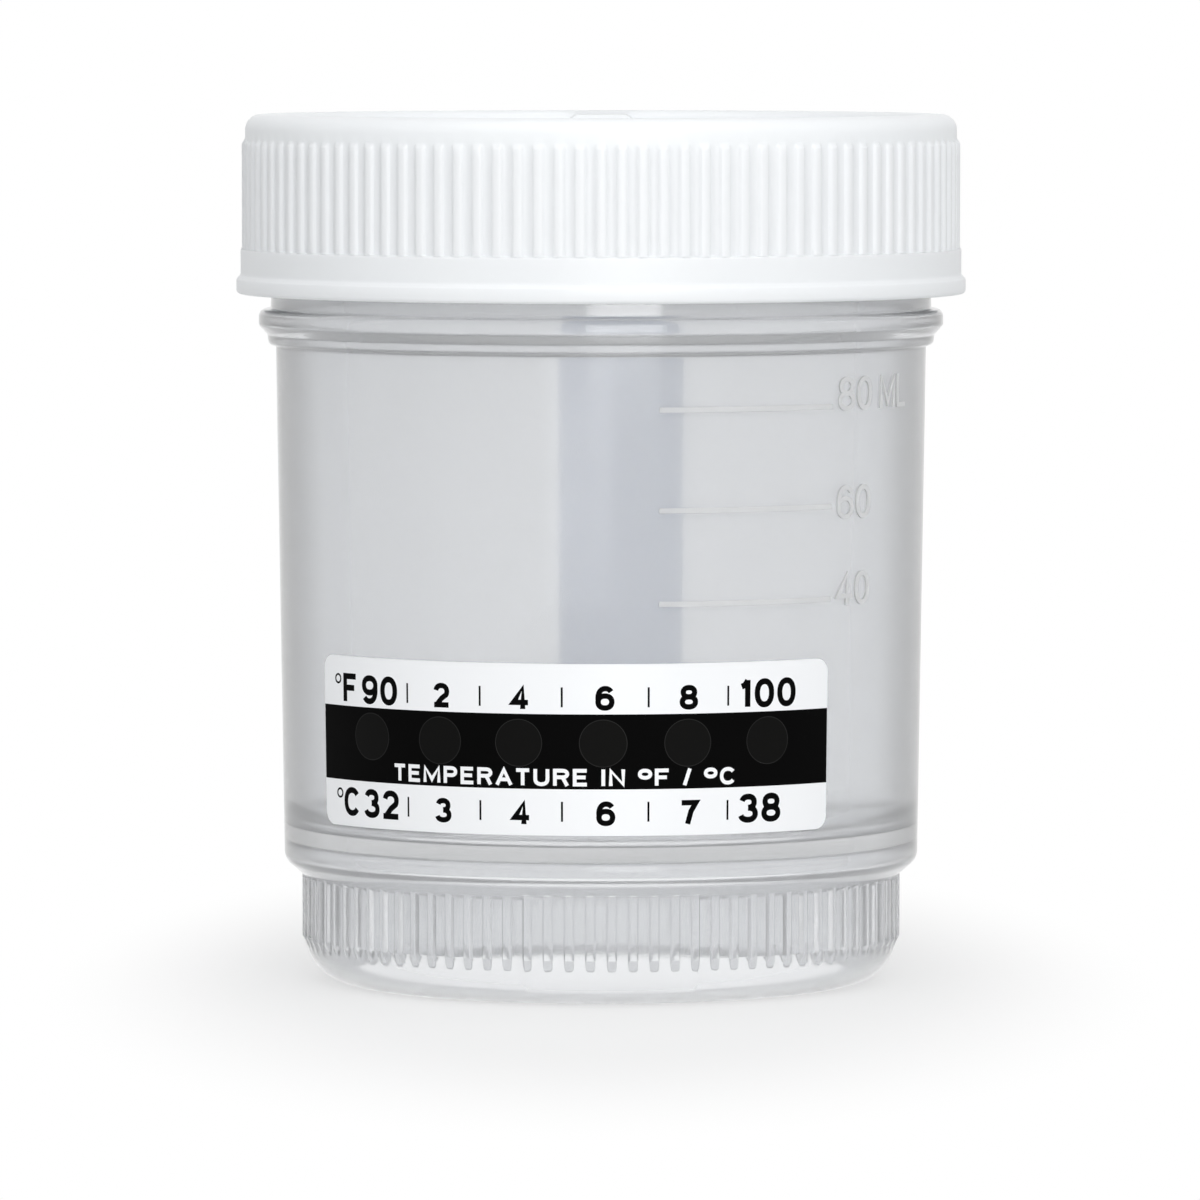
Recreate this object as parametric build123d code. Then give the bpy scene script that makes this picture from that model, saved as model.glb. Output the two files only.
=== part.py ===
from build123d import *
import math
import os

# A screw-capped specimen container. Lengths are in millimetres, angles in degrees.
# z = 0 is the surface it stands on, the z axis is the cup's own axis and -y is its front.
# A bearing is an angle about that axis, counted from the front towards +x.

# Walls
wall = 1.25
floor_thickness = 1.3
cap_wall = 1.0
panel_thickness = 1.3

# Cup: heights, each one counted from the end of the one before
foot_slope_height = 3.3
skirt_height = 5.65
shoulder_height = 1.55
body_height = 43.55
flange_height = 0.9
flare_height = 0.8
bead_height = 1.35
neck_height = 12.4

# Cup: radii, given as steps from the body's radius above the shoulder
body_radius = 26.9
body_flare = 0.67
skirt_inset = 1.78
foot_inset = 2.3
flange_step = 0.6
flange_draft = 0.12
bead_step = 0.73
neck_step = 0.43
neck_wall = 1.4

# Cup: floor
floor_lift = 0.75
inner_corner = 2.0

# Cup: ribs round the skirt and the two pads that stand a little proud of it
skirt_rib_count = 90
skirt_rib_width = 0.78
skirt_rib_height = 0.3
pad_count = 2
pad_bearing = 2.0
pad_ribs_each_side = 4
pad_step = 0.2
pad_foot_gap = 1.6

# Cup: raised volume lines on the body
line_bearing = 10.0
line_angle = 34.0
line_width = 0.32
line_proud = 0.16
line_heights = (33.6, 41.3, 49.6)

# Screw thread, right-handed, one start
thread_pitch = 5.08
thread_depth = 0.95
thread_root_width = 2.0
thread_tip_width = 1.0
thread_root_in_wall = 0.3
cup_thread_turns = 1.4
cup_thread_rim_gap = 1.9
cap_thread_turns = 1.2
cap_thread_depth = 0.8
cap_thread_lag = 0.3
thread_crest_clearance = 0.2
thread_flank_clearance = 0.2

# Cap
cap_collar_gap = 1.3
cap_bead_height = 1.25
cap_bead_step = 0.36
cap_band_height = 2.55
cap_band_step = 0.4
cap_top_border = 2.5
cap_rim_height = 1.7
cap_rim_width = 3.3
cap_rim_draft = 0.2
cap_outer_round = 1.3
cap_inner_round = 0.8
cap_mouth_round = 0.6
cap_rib_count = 110
cap_rib_width = 0.95
cap_rib_height = 0.35

# Stacking lugs inside the cap's rim
lug_count = 3
lug_width = 5.1
lug_depth = 1.3
lug_top_gap = 0.3
lug_corner = 0.25

# Ribs and rounds
rib_flank_draft = 25.0
rib_root_in_wall = 0.4
rim_round = 0.35
bead_round = 0.6
foot_round = 0.9

# Sealing disc
liner_thickness = 1.0
liner_edge_gap = 0.35
seal_gap = 0.05

# Adhesive films
film_thickness = 0.15
film_lift = 0.02
film_corner = 1.1
strip_bearing = -57.6
strip_angle = 101.1
strip_bottom = 14.5
strip_height = 14.2
seal_width = 10.9
seal_bearing = 176.2
seal_bottom = 16.0
seal_collar_gap = 0.5

# Heights from the table
skirt_bottom = foot_slope_height
shoulder_bottom = skirt_bottom + skirt_height
body_bottom = shoulder_bottom + shoulder_height
flange_bottom = body_bottom + body_height
flare_bottom = flange_bottom + flange_height
bead_bottom = flare_bottom + flare_height
collar_top = bead_bottom + bead_height
rim_top = collar_top + neck_height
floor_top = body_bottom + floor_lift
floor_under = floor_top - floor_thickness
panel_under = rim_top + seal_gap + liner_thickness
panel_top = panel_under + panel_thickness
cap_top = panel_top + cap_rim_height
cap_bottom = collar_top + cap_collar_gap
band_bottom = cap_bottom + cap_bead_height
band_top = band_bottom + cap_band_height

# Radii from the axis
skirt_radius = body_radius - skirt_inset
foot_radius = skirt_radius - foot_inset
body_top_radius = body_radius + body_flare
flange_radius = body_top_radius + flange_step
bead_radius = flange_radius + flange_draft + bead_step
neck_radius = body_top_radius + neck_step
neck_bore = neck_radius - neck_wall
thread_crest = neck_radius + thread_depth
cap_bore = thread_crest + thread_crest_clearance
cap_skirt_radius = cap_bore + cap_wall
cap_rim_bore = cap_skirt_radius - cap_rim_width


def at(bearing, radius):
    """Point in plan at a bearing and a radius."""
    turn = math.radians(bearing)
    return (radius * math.sin(turn), -radius * math.cos(turn))


def outline(corners):
    """Closed outline through (radius, height, round, facets) corners.

    A corner with a round is drawn as that many short facets on the round's arc.
    """
    points = []
    for index, (radius, height, rounding, facets) in enumerate(corners):
        corner = Vector(radius, height)
        if not rounding:
            points.append(corner)
            continue
        following = (index + 1) % len(corners)
        back = (Vector(*corners[index - 1][:2]) - corner).normalized()
        onward = (Vector(*corners[following][:2]) - corner).normalized()
        half_corner = math.radians(back.get_angle(onward)) / 2
        centre = corner + (back + onward).normalized() * rounding / math.sin(half_corner)
        first = corner + back * rounding / math.tan(half_corner) - centre
        last = corner + onward * rounding / math.tan(half_corner) - centre
        for step in range(facets + 1):
            spoke = first * (1 - step / facets) + last * (step / facets)
            points.append(centre + spoke.normalized() * rounding)
    return Polyline(*points, close=True)


def turned(corners, start_bearing=0, angle=360):
    """Solid made by turning a half section about the z axis, from one bearing onwards."""
    section = Plane.XZ * make_face(outline(corners))
    solid = revolve(section, Axis.Z, revolution_arc=angle)
    return Rot(0, 0, start_bearing - 90) * solid


def body_radius_at(height):
    """Outer radius of the tapered body at a height."""
    share = (height - body_bottom) / body_height
    return body_radius + body_flare * share


def foot_radius_at(height):
    """Outer radius of the sloping band above the foot at a height."""
    return foot_radius + foot_inset * height / foot_slope_height


def rib_ring(surface, rib_width, count, first_bearing, height_of, bottom, top):
    """Ring with upright ribs, sunk a little into the wall that carries them.

    surface is the wall's radius, rib_width a rib's width there, and height_of gives each
    rib's height by its bearing.
    """
    root = surface - rib_root_in_wall
    draft = math.tan(math.radians(rib_flank_draft))
    root_half = rib_width / 2 + rib_root_in_wall * draft
    points = []
    for index in range(count):
        bearing = first_bearing + index * 360 / count
        height = height_of(bearing)
        crest_half = rib_width / 2 - height * draft
        crest = surface + height
        for radius, half_width in (
            (root, -root_half),
            (crest, -crest_half),
            (crest, crest_half),
            (root, root_half),
        ):
            points.append(at(bearing + math.degrees(half_width / radius), radius))
    section = make_face(Polyline(*points, close=True)) - Circle(root - rib_root_in_wall)
    return Pos(0, 0, bottom) * extrude(section, amount=top - bottom)


def thread(surface, depth, turns, bottom, start_bearing):
    """One helical thread on a cylinder; depth is positive outwards and negative inwards."""
    outwards = math.copysign(1, depth)
    root = surface - outwards * thread_root_in_wall
    half_root = thread_root_width / 2
    half_tip = thread_tip_width / 2
    profile = Polyline(
        (root, -half_root),
        (surface, -half_root),
        (surface + depth, -half_tip),
        (surface + depth, half_tip),
        (surface, half_root),
        (root, half_root),
        close=True,
    )
    section = Plane.XZ * make_face(profile)
    helix = Helix(thread_pitch, thread_pitch * turns, surface)
    ridge = sweep(section, path=helix, is_frenet=True)
    return Pos(0, 0, bottom) * Rot(0, 0, start_bearing - 90) * ridge


def in_pad(bearing):
    """Whether a skirt rib at this bearing stands on one of the pads."""
    rib_pitch = 360 / skirt_rib_count
    pad_pitch = 360 / pad_count
    offset = (bearing - pad_bearing + pad_pitch / 2) % pad_pitch - pad_pitch / 2
    return abs(offset) < (pad_ribs_each_side + 0.5) * rib_pitch


def skirt_rib_height_at(bearing):
    """Height of a skirt rib above the plain skirt."""
    if in_pad(bearing):
        return skirt_rib_height + pad_step
    return skirt_rib_height


def cup_shell():
    """The cup's turned form: foot, skirt, shoulder, body, collar, neck and floor in one wall."""
    skirt_bore = skirt_radius - wall
    return turned(
        [
            (0, floor_under, 0, 0),
            (skirt_bore, floor_under, 0, 0),
            (skirt_bore, skirt_bottom + wall / 2, 0, 0),
            (foot_radius - wall, 0, 0, 0),
            (foot_radius, 0, foot_round, 1),
            (skirt_radius, skirt_bottom, 0, 0),
            (skirt_radius, shoulder_bottom, 0, 0),
            (body_radius, body_bottom, 0, 0),
            (body_top_radius, flange_bottom, 0, 0),
            (flange_radius, flange_bottom, 0, 0),
            (flange_radius + flange_draft, flare_bottom, 0, 0),
            (bead_radius, bead_bottom, 0, 0),
            (bead_radius, collar_top, bead_round, 1),
            (neck_radius, collar_top, 0, 0),
            (neck_radius, rim_top, rim_round, 1),
            (neck_bore, rim_top, 0, 0),
            (neck_bore, collar_top, 0, 0),
            (body_top_radius - wall, flange_bottom, 0, 0),
            (body_radius - wall, floor_top, inner_corner, 1),
            (0, floor_top, 0, 0),
        ]
    )


def skirt_ribs():
    """Upright ribs round the skirt, from its foot up into the shoulder's slope."""
    crest = skirt_radius + skirt_rib_height + pad_step
    shoulder_slope = shoulder_height / (body_radius - skirt_radius)
    crest_meets_shoulder = shoulder_bottom + (crest - skirt_radius) * shoulder_slope
    return rib_ring(
        skirt_radius,
        skirt_rib_width,
        skirt_rib_count,
        pad_bearing,
        skirt_rib_height_at,
        skirt_bottom,
        crest_meets_shoulder,
    )


def skirt_pads():
    """Sectors of the skirt, front and back, that stand a little proud under their ribs."""
    rib_pitch = 360 / skirt_rib_count
    half_rib = math.degrees(skirt_rib_width / 2 / skirt_radius)
    half_angle = pad_ribs_each_side * rib_pitch + half_rib
    face = skirt_radius + pad_step
    root = skirt_radius - rib_root_in_wall
    shoulder_slope = shoulder_height / (body_radius - skirt_radius)
    meets_shoulder = shoulder_bottom + pad_step * shoulder_slope
    section = [
        (foot_radius_at(pad_foot_gap) - rib_root_in_wall, pad_foot_gap, 0, 0),
        (foot_radius_at(pad_foot_gap), pad_foot_gap, 0, 0),
        (face, skirt_bottom + pad_step, 0, 0),
        (face, meets_shoulder, 0, 0),
        (root, meets_shoulder, 0, 0),
        (root, skirt_bottom + rib_root_in_wall, 0, 0),
    ]
    pads = []
    for index in range(pad_count):
        middle = pad_bearing + index * 360 / pad_count
        pads.append(turned(section, middle - half_angle, 2 * half_angle))
    return pads


def volume_lines():
    """Raised lines on the body, one at each marked volume."""
    lines = []
    for height in line_heights:
        root = body_radius_at(height) - wall / 2
        crest = body_radius_at(height) + line_proud
        section = [
            (root, height - line_width / 2, 0, 0),
            (crest, height - line_width / 2, 0, 0),
            (crest, height + line_width / 2, 0, 0),
            (root, height + line_width / 2, 0, 0),
        ]
        lines.append(turned(section, line_bearing, line_angle))
    return lines


def cup_thread_bottom():
    """Height of the middle of the cup's thread at its lower end."""
    return rim_top - cup_thread_rim_gap - cup_thread_turns * thread_pitch


def cup():
    """The whole cup, one moulding."""
    ridge = thread(neck_radius, thread_depth, cup_thread_turns, cup_thread_bottom(), 0)
    return cup_shell() + skirt_pads() + skirt_ribs() + volume_lines() + ridge


def cap_shell():
    """The cap's turned form: bead, band, skirt, raised rim and recessed panel."""
    band = cap_skirt_radius + cap_band_step
    bead = band + cap_bead_step
    return turned(
        [
            (0, panel_under, 0, 0),
            (cap_bore, panel_under, 0, 0),
            (cap_bore, cap_bottom, cap_mouth_round, 1),
            (bead, cap_bottom, 0, 0),
            (bead, band_bottom, 0, 0),
            (band, band_bottom + cap_bead_step, 0, 0),
            (band, band_top, 0, 0),
            (cap_skirt_radius, band_top, 0, 0),
            (cap_skirt_radius, cap_top, cap_outer_round, 3),
            (cap_rim_bore, cap_top, cap_inner_round, 1),
            (cap_rim_bore - cap_rim_draft, panel_top, 0, 0),
            (0, panel_top, 0, 0),
        ]
    )


def cap_ribs():
    """Fine upright grip ribs, from the plain band to just under the rounded top edge."""
    return rib_ring(
        cap_skirt_radius,
        cap_rib_width,
        cap_rib_count,
        0,
        lambda bearing: cap_rib_height,
        band_top,
        cap_top - cap_top_border,
    )


def cap_lugs():
    """Small lugs on the panel, against the inside of the rim, that locate a stacked cup."""
    inner = cap_rim_bore - lug_depth
    angle = math.degrees(lug_width / inner)
    section = [
        (inner, panel_top - panel_thickness / 2, 0, 0),
        (cap_rim_bore + cap_rim_draft, panel_top - panel_thickness / 2, 0, 0),
        (cap_rim_bore + cap_rim_draft, cap_top - lug_top_gap - cap_inner_round, 0, 0),
        (cap_rim_bore - cap_rim_draft, cap_top - lug_top_gap, 0, 0),
        (inner, cap_top - lug_top_gap, lug_corner, 1),
    ]
    lugs = []
    for index in range(lug_count):
        middle = 180 + index * 360 / lug_count
        lugs.append(turned(section, middle - angle / 2, angle))
    return lugs


def cap():
    """The whole cap, one moulding, with its thread just under the cup's."""
    shared_depth = thread_depth + cap_thread_depth - (cap_bore - neck_radius)
    flank_slope = (thread_root_width - thread_tip_width) / 2 / thread_depth
    flank_touch = thread_tip_width + flank_slope * shared_depth
    drop = flank_touch + thread_flank_clearance
    bottom = cup_thread_bottom() - drop + cap_thread_lag * thread_pitch
    ridge = thread(cap_bore, -cap_thread_depth, cap_thread_turns, bottom, 360 * cap_thread_lag)
    return cap_shell() + cap_ribs() + cap_lugs() + ridge


def cap_liner():
    """Thin sealing disc between the cap's panel and the cup's rim."""
    radius = cap_bore - liner_edge_gap
    disc = Cylinder(radius, liner_thickness, align=(Align.CENTER, Align.CENTER, Align.MIN))
    return Pos(0, 0, rim_top + seal_gap) * disc


def film(bottom, height, start_bearing, angle):
    """Thin film with rounded corners, wrapped on the tapered body."""
    top = bottom + height
    low = body_radius_at(bottom) + film_lift
    high = body_radius_at(top) + film_lift
    section = [
        (low, bottom, 0, 0),
        (low + film_thickness, bottom, 0, 0),
        (high + film_thickness, top, 0, 0),
        (high, top, 0, 0),
    ]
    sheet = turned(section, start_bearing, angle)
    ends = [edge for edge in sheet.edges() if abs(edge.length - film_thickness) < 1e-6]
    return fillet(ends, film_corner)


def temperature_strip():
    """The printed strip on the front left."""
    return film(strip_bottom, strip_height, strip_bearing, strip_angle)


def seal_strip():
    """The pale upright strip on the back of the body."""
    angle = math.degrees(seal_width / body_radius)
    height = flange_bottom - seal_collar_gap - seal_bottom
    return film(seal_bottom, height, seal_bearing - angle / 2, angle)


os.makedirs("parts", exist_ok=True)
export_step(cup(), "parts/cup.step")
export_step(cap(), "parts/cap.step")
export_step(cap_liner(), "parts/cap_liner.step")
export_step(temperature_strip(), "parts/temperature_strip.step")
export_step(seal_strip(), "parts/seal_strip.step")
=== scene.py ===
import math
import bpy
import numpy as np
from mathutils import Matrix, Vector
from mathutils.geometry import delaunay_2d_cdt


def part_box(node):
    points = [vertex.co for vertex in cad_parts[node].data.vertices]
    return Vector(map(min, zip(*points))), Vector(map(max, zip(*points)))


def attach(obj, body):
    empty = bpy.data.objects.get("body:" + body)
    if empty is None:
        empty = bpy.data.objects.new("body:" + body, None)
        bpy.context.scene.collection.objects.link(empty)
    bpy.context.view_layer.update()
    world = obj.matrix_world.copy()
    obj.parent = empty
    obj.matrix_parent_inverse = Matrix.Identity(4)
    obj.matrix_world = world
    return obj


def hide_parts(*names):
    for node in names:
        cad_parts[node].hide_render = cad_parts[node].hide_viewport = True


# A screw-capped specimen container: ribbed cup, ribbed cap, printed strip, blue strip.
# Sizes of the pieces are millimetres and degrees, and mm turns them into Blender's metres.
# The stage's and the lamps' sizes are metres.
# A bearing is an angle round the cup, counted from the front (-Y) towards +X.

mm = 0.001
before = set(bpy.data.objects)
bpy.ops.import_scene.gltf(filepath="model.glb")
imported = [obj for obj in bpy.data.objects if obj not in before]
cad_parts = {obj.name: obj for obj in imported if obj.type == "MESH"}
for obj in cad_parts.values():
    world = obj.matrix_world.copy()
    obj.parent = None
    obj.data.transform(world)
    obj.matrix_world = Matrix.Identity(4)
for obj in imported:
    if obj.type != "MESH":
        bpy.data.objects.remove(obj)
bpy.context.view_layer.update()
scene = bpy.context.scene

cupBox = [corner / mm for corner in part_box("cup")]
capBox = [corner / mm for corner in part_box("cap")]
stripBox = [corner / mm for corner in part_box("temperature_strip")]
sealBox = [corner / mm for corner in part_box("seal_strip")]
linerBox = [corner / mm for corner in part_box("cap_liner")]


# Mesh helpers

def smoothstep(low, high, value):
    share = np.clip((value - low) / (high - low), 0, 1)
    return share * share * (3 - 2 * share)


longRun = 0.9  # a run of an outline longer than this gets guard points
guardGap = 0.06  # how far they stand from its ends


def roundedOutline(corners):
    # corners are (radius, height, rounding, steps); a rounded one becomes an arc
    points = []
    for index, (radius, height, rounding, steps) in enumerate(corners):
        corner = Vector((radius, height))
        if not rounding:
            points.append(corner)
            continue
        back = (Vector(corners[index - 1][:2]) - corner).normalized()
        onward = (Vector(corners[index + 1][:2]) - corner).normalized()
        half = back.angle(onward) / 2
        centre = corner + (back + onward).normalized() * rounding / math.sin(half)
        first = corner + back * rounding / math.tan(half) - centre
        last = corner + onward * rounding / math.tan(half) - centre
        sweep = first.angle(last)
        for step in range(steps + 1):
            share = step / steps
            spoke = first * math.sin((1 - share) * sweep) + last * math.sin(share * sweep)
            points.append(centre + spoke / math.sin(sweep))
    return guarded(points)


def guarded(points):
    # a point close to each end of a long run keeps the shading of its face even
    made = [points[0]]
    for before, after in zip(points, points[1:]):
        run = after - before
        if run.length > longRun:
            made += [before + run.normalized() * guardGap, after - run.normalized() * guardGap]
        made.append(after)
    return made


def newObject(name, vertices, faces, materials, faceMaterials=None, sharpAngle=60):
    mesh = bpy.data.meshes.new(name)
    mesh.from_pydata(vertices, [], faces)
    for material in materials:
        mesh.materials.append(material)
    if faceMaterials is not None:
        mesh.polygons.foreach_set("material_index", faceMaterials)
    mesh.shade_smooth()
    mesh.set_sharp_from_angle(angle=math.radians(sharpAngle))
    mesh.update()
    made = bpy.data.objects.new(name, mesh)
    scene.collection.objects.link(made)
    return made


def turnedObject(name, radii, heights, bearings, material):
    # radii holds one row of radii for each height; the first and last rows are points on the axis
    count = len(bearings)
    turn = np.radians(bearings)
    inner = radii[1:-1]
    across = np.stack([inner * np.sin(turn), -inner * np.cos(turn)], -1)
    tall = np.repeat(np.array(heights[1:-1])[:, None], count, 1)[..., None]
    rings = np.concatenate([across, tall], -1).reshape(-1, 3) * mm
    start = len(rings)
    vertices = rings.tolist() + [(0, 0, heights[0] * mm), (0, 0, heights[-1] * mm)]
    rows = len(inner)
    here = np.arange(count)
    following = (here + 1) % count
    faces = []
    for row in range(rows - 1):
        a, b = row * count, (row + 1) * count
        faces += np.stack([a + here, b + here, b + following, a + following], -1).tolist()
    last = (rows - 1) * count
    faces += [(start, int(i), int(j)) for i, j in zip(here, following)]
    faces += [(last + int(i), start + 1, last + int(j)) for i, j in zip(here, following)]
    return newObject(name, vertices, faces, [material])


def ribBearings(count, first, samples, radius):
    # bearings of every sample across each rib and the middle of each valley
    pitch = 360 / count
    steps = [math.degrees(offset / radius) for offset, share in samples]
    across = sorted({-s for s in steps} | set(steps)) + [pitch / 2]
    return np.array([first + index * pitch + step for index in range(count) for step in across])


def ribShare(bearings, count, first, samples, radius):
    # 0 in the valleys and 1 on a rib's crest
    pitch = 360 / count
    offset = np.abs((bearings - first + pitch / 2) % pitch - pitch / 2)
    steps = [math.degrees(offset / radius) for offset, share in samples]
    return np.interp(offset, steps, [share for offset, share in samples])


def dress(piece, body, slotName, *replaced):
    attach(piece, body)
    if replaced:
        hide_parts(*replaced)


# Finishes

def startMaterial(name):
    material = bpy.data.materials.new(name)
    material.use_nodes = True
    tree = material.node_tree
    tree.nodes.clear()
    output = tree.nodes.new("ShaderNodeOutputMaterial")
    shader = tree.nodes.new("ShaderNodeBsdfPrincipled")
    tree.links.new(shader.outputs["BSDF"], output.inputs["Surface"])
    return material, tree, shader, output


def noiseNode(tree, coordinates, perMillimetre, detail, stretch=(1, 1, 1)):
    mapping = tree.nodes.new("ShaderNodeMapping")
    mapping.inputs["Scale"].default_value = [perMillimetre / mm * s for s in stretch]
    tree.links.new(coordinates.outputs["Object"], mapping.inputs["Vector"])
    noise = tree.nodes.new("ShaderNodeTexNoise")
    noise.inputs["Scale"].default_value = 1
    noise.inputs["Detail"].default_value = detail
    tree.links.new(mapping.outputs["Vector"], noise.inputs["Vector"])
    return noise


def rangeNode(tree, source, low, high, fromLow=0.3, fromHigh=0.7):
    node = tree.nodes.new("ShaderNodeMapRange")
    node.inputs["From Min"].default_value = fromLow
    node.inputs["From Max"].default_value = fromHigh
    node.inputs["To Min"].default_value = low
    node.inputs["To Max"].default_value = high
    tree.links.new(source, node.inputs["Value"])
    return node


def mathNode(tree, operation, first, second=None):
    node = tree.nodes.new("ShaderNodeMath")
    node.operation = operation
    tree.links.new(first, node.inputs[0])
    if second is not None:
        tree.links.new(second, node.inputs[1])
    return node.outputs[0]


def mixColour(tree, factor, first, second):
    node = tree.nodes.new("ShaderNodeMix")
    node.data_type = "RGBA"
    tree.links.new(factor, node.inputs["Factor"])
    for socket, value in ((node.inputs[6], first), (node.inputs[7], second)):
        if hasattr(value, "is_linked"):
            tree.links.new(value, socket)
        else:
            socket.default_value = (*value, 1)
    return node


def surfaceDetail(tree, shader, coordinates, look):
    # roughness that varies in patches, and a fine moulded grain with slow waves under it
    patches = noiseNode(tree, coordinates, look["patchScale"], 3, look.get("patchStretch", (1, 1, 1)))
    rough = rangeNode(tree, patches.outputs["Fac"], *look["roughness"])
    tree.links.new(rough.outputs["Result"], shader.inputs["Roughness"])
    grain = noiseNode(tree, coordinates, look["grainScale"], 2)
    waves = noiseNode(tree, coordinates, look["waveScale"], 1, look.get("waveStretch", (1, 1, 1)))
    coarse = tree.nodes.new("ShaderNodeBump")
    coarse.inputs["Distance"].default_value = look["waveHeight"] * mm
    tree.links.new(waves.outputs["Fac"], coarse.inputs["Height"])
    fine = tree.nodes.new("ShaderNodeBump")
    fine.inputs["Distance"].default_value = look["grainHeight"] * mm
    tree.links.new(grain.outputs["Fac"], fine.inputs["Height"])
    tree.links.new(coarse.outputs["Normal"], fine.inputs["Normal"])
    tree.links.new(fine.outputs["Normal"], shader.inputs["Normal"])
    return patches


# the edge colour is painted shade: the base colour turns near black where an upright wall is seen at a slant,
# for the dark lines at the walls' edges
cupLook = {
    "paleColour": (0.955, 0.965, 0.98),
    "cloudColour": (0.935, 0.945, 0.96),
    "paintedEdgeShade": (0.03, 0.03, 0.03),
    "paintedEdgeFrom": 0.50, "paintedEdgeTo": 1.0, "uprightBelow": 0.1, "levelAbove": 0.6,
    "transmission": 0.74, "ior": 1.46,
    "depthColour": (0.30, 0.30, 0.28), "depthDensity": 9.0,
    "roughness": (0.06, 0.10),
    "patchScale": 0.08, "patchStretch": (1, 1, 0.25),
    "grainScale": 6.0, "grainHeight": 0.0015,
    "waveScale": 0.12, "waveStretch": (1, 1, 0.3), "waveHeight": 0.02,
}
# the raised marks take a lighter painted edge shade: their base colour greys where an upright wall is seen at
# a slant
markLook = dict(
    cupLook, paleColour=(1.0, 1.0, 1.0), cloudColour=(0.98, 0.985, 0.99), paintedEdgeShade=(0.85, 0.86, 0.87),
    transmission=0.55, depthDensity=2.0,
)


def uprightShare(tree, look):
    # 1 on upright walls, falling to 0 on faces that look up or down; it keeps the painted edge shade to the
    # walls
    geometry = tree.nodes.new("ShaderNodeNewGeometry")
    parts = tree.nodes.new("ShaderNodeSeparateXYZ")
    tree.links.new(geometry.outputs["True Normal"], parts.inputs[0])
    level = mathNode(tree, "ABSOLUTE", parts.outputs["Z"])
    return rangeNode(tree, level, 1, 0, look["uprightBelow"], look["levelAbove"])


def naturalPlastic(name, look):
    # milky see-through plastic, with a painted edge shade in its base colour: darker where an upright wall is
    # met at a slant
    material, tree, shader, output = startMaterial(name)
    coordinates = tree.nodes.new("ShaderNodeTexCoord")
    patches = surfaceDetail(tree, shader, coordinates, look)
    slant = tree.nodes.new("ShaderNodeLayerWeight")
    slant.inputs["Blend"].default_value = 0.5
    edge = rangeNode(tree, slant.outputs["Facing"], 0, 1, look["paintedEdgeFrom"], look["paintedEdgeTo"])
    upright = uprightShare(tree, look)
    paintedWallShade = mathNode(tree, "MULTIPLY", edge.outputs["Result"], upright.outputs["Result"])
    cloudy = mixColour(tree, patches.outputs["Fac"], look["paleColour"], look["cloudColour"])
    # painted shade: the base colour darkens towards the edge colour where an upright wall is seen at a slant
    tint = mixColour(tree, paintedWallShade, cloudy.outputs[2], look["paintedEdgeShade"])
    tree.links.new(tint.outputs[2], shader.inputs["Base Color"])
    shader.inputs["Transmission Weight"].default_value = look["transmission"]
    shader.inputs["IOR"].default_value = look["ior"]
    depth = tree.nodes.new("ShaderNodeVolumeAbsorption")
    depth.inputs["Color"].default_value = (*look["depthColour"], 1)
    depth.inputs["Density"].default_value = look["depthDensity"]
    tree.links.new(depth.outputs["Volume"], output.inputs["Volume"])
    return material


capLook = {
    "colour": (0.905, 0.925, 0.95),
    "shade": (0.885, 0.905, 0.93),
    "roughness": (0.34, 0.42),
    "patchScale": 0.15,
    "grainScale": 5.0, "grainHeight": 0.003,
    "waveScale": 0.1, "waveHeight": 0.015,
    "subsurface": 0.6, "subsurfaceDepth": 1.6,
}


def opaquePlastic(name, look):
    material, tree, shader, output = startMaterial(name)
    coordinates = tree.nodes.new("ShaderNodeTexCoord")
    patches = surfaceDetail(tree, shader, coordinates, look)
    tint = mixColour(tree, patches.outputs["Fac"], look["colour"], look["shade"])
    tree.links.new(tint.outputs[2], shader.inputs["Base Color"])
    shader.inputs["Subsurface Weight"].default_value = look.get("subsurface", 0)
    shader.inputs["Subsurface Scale"].default_value = look.get("subsurfaceDepth", 1) * mm
    shader.inputs["Subsurface Radius"].default_value = (1, 1, 1)
    shader.inputs["Transmission Weight"].default_value = look.get("transmission", 0)
    shader.inputs["IOR"].default_value = look.get("ior", 1.46)
    shader.inputs["Specular IOR Level"].default_value = look.get("specular", 0.5)
    return material


linerLook = {
    "colour": (0.85, 0.85, 0.83), "shade": (0.80, 0.80, 0.78),
    "roughness": (0.75, 0.9), "patchScale": 0.3,
    "grainScale": 2.2, "grainHeight": 0.05, "waveScale": 0.4, "waveHeight": 0.05,
}
filmLook = {
    "colour": (0.955, 0.965, 0.975), "shade": (0.93, 0.94, 0.955),
    "roughness": (0.28, 0.36), "patchScale": 0.12,
    "grainScale": 4.0, "grainHeight": 0.001, "waveScale": 0.25, "waveHeight": 0.004,
}
inkLook = dict(
    filmLook, colour=(0.001, 0.001, 0.001), shade=(0.002, 0.002, 0.002), roughness=(0.7, 0.8), specular=0.04
)
windowLook = dict(
    filmLook, colour=(0.004, 0.004, 0.004), shade=(0.006, 0.006, 0.0055), roughness=(0.6, 0.7), specular=0.05
)
windowRimLook = dict(windowLook, colour=(0.016, 0.016, 0.016), shade=(0.024, 0.024, 0.023))
sealLook = dict(
    filmLook, colour=(0.76, 0.84, 1.0), shade=(0.73, 0.81, 0.98), transmission=0.7, roughness=(0.3, 0.4)
)

plastic = naturalPlastic("natural_moulded_plastic", cupLook)
markPlastic = naturalPlastic("raised_mark_plastic", markLook)
whitePlastic = opaquePlastic("white_moulded_plastic", capLook)
foam = opaquePlastic("soft_sealing_foam", linerLook)
whiteFilm = opaquePlastic("white_printed_film", filmLook)
blackInk = opaquePlastic("black_print", inkLook)
windowInk = opaquePlastic("dark_round_windows", windowLook)
windowRim = opaquePlastic("window_rims", windowRimLook)
blueFilm = opaquePlastic("pale_blue_film", sealLook)
print("finishes ready")


# Cup: steps are counted down from the rim and in from the collar's bead

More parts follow.
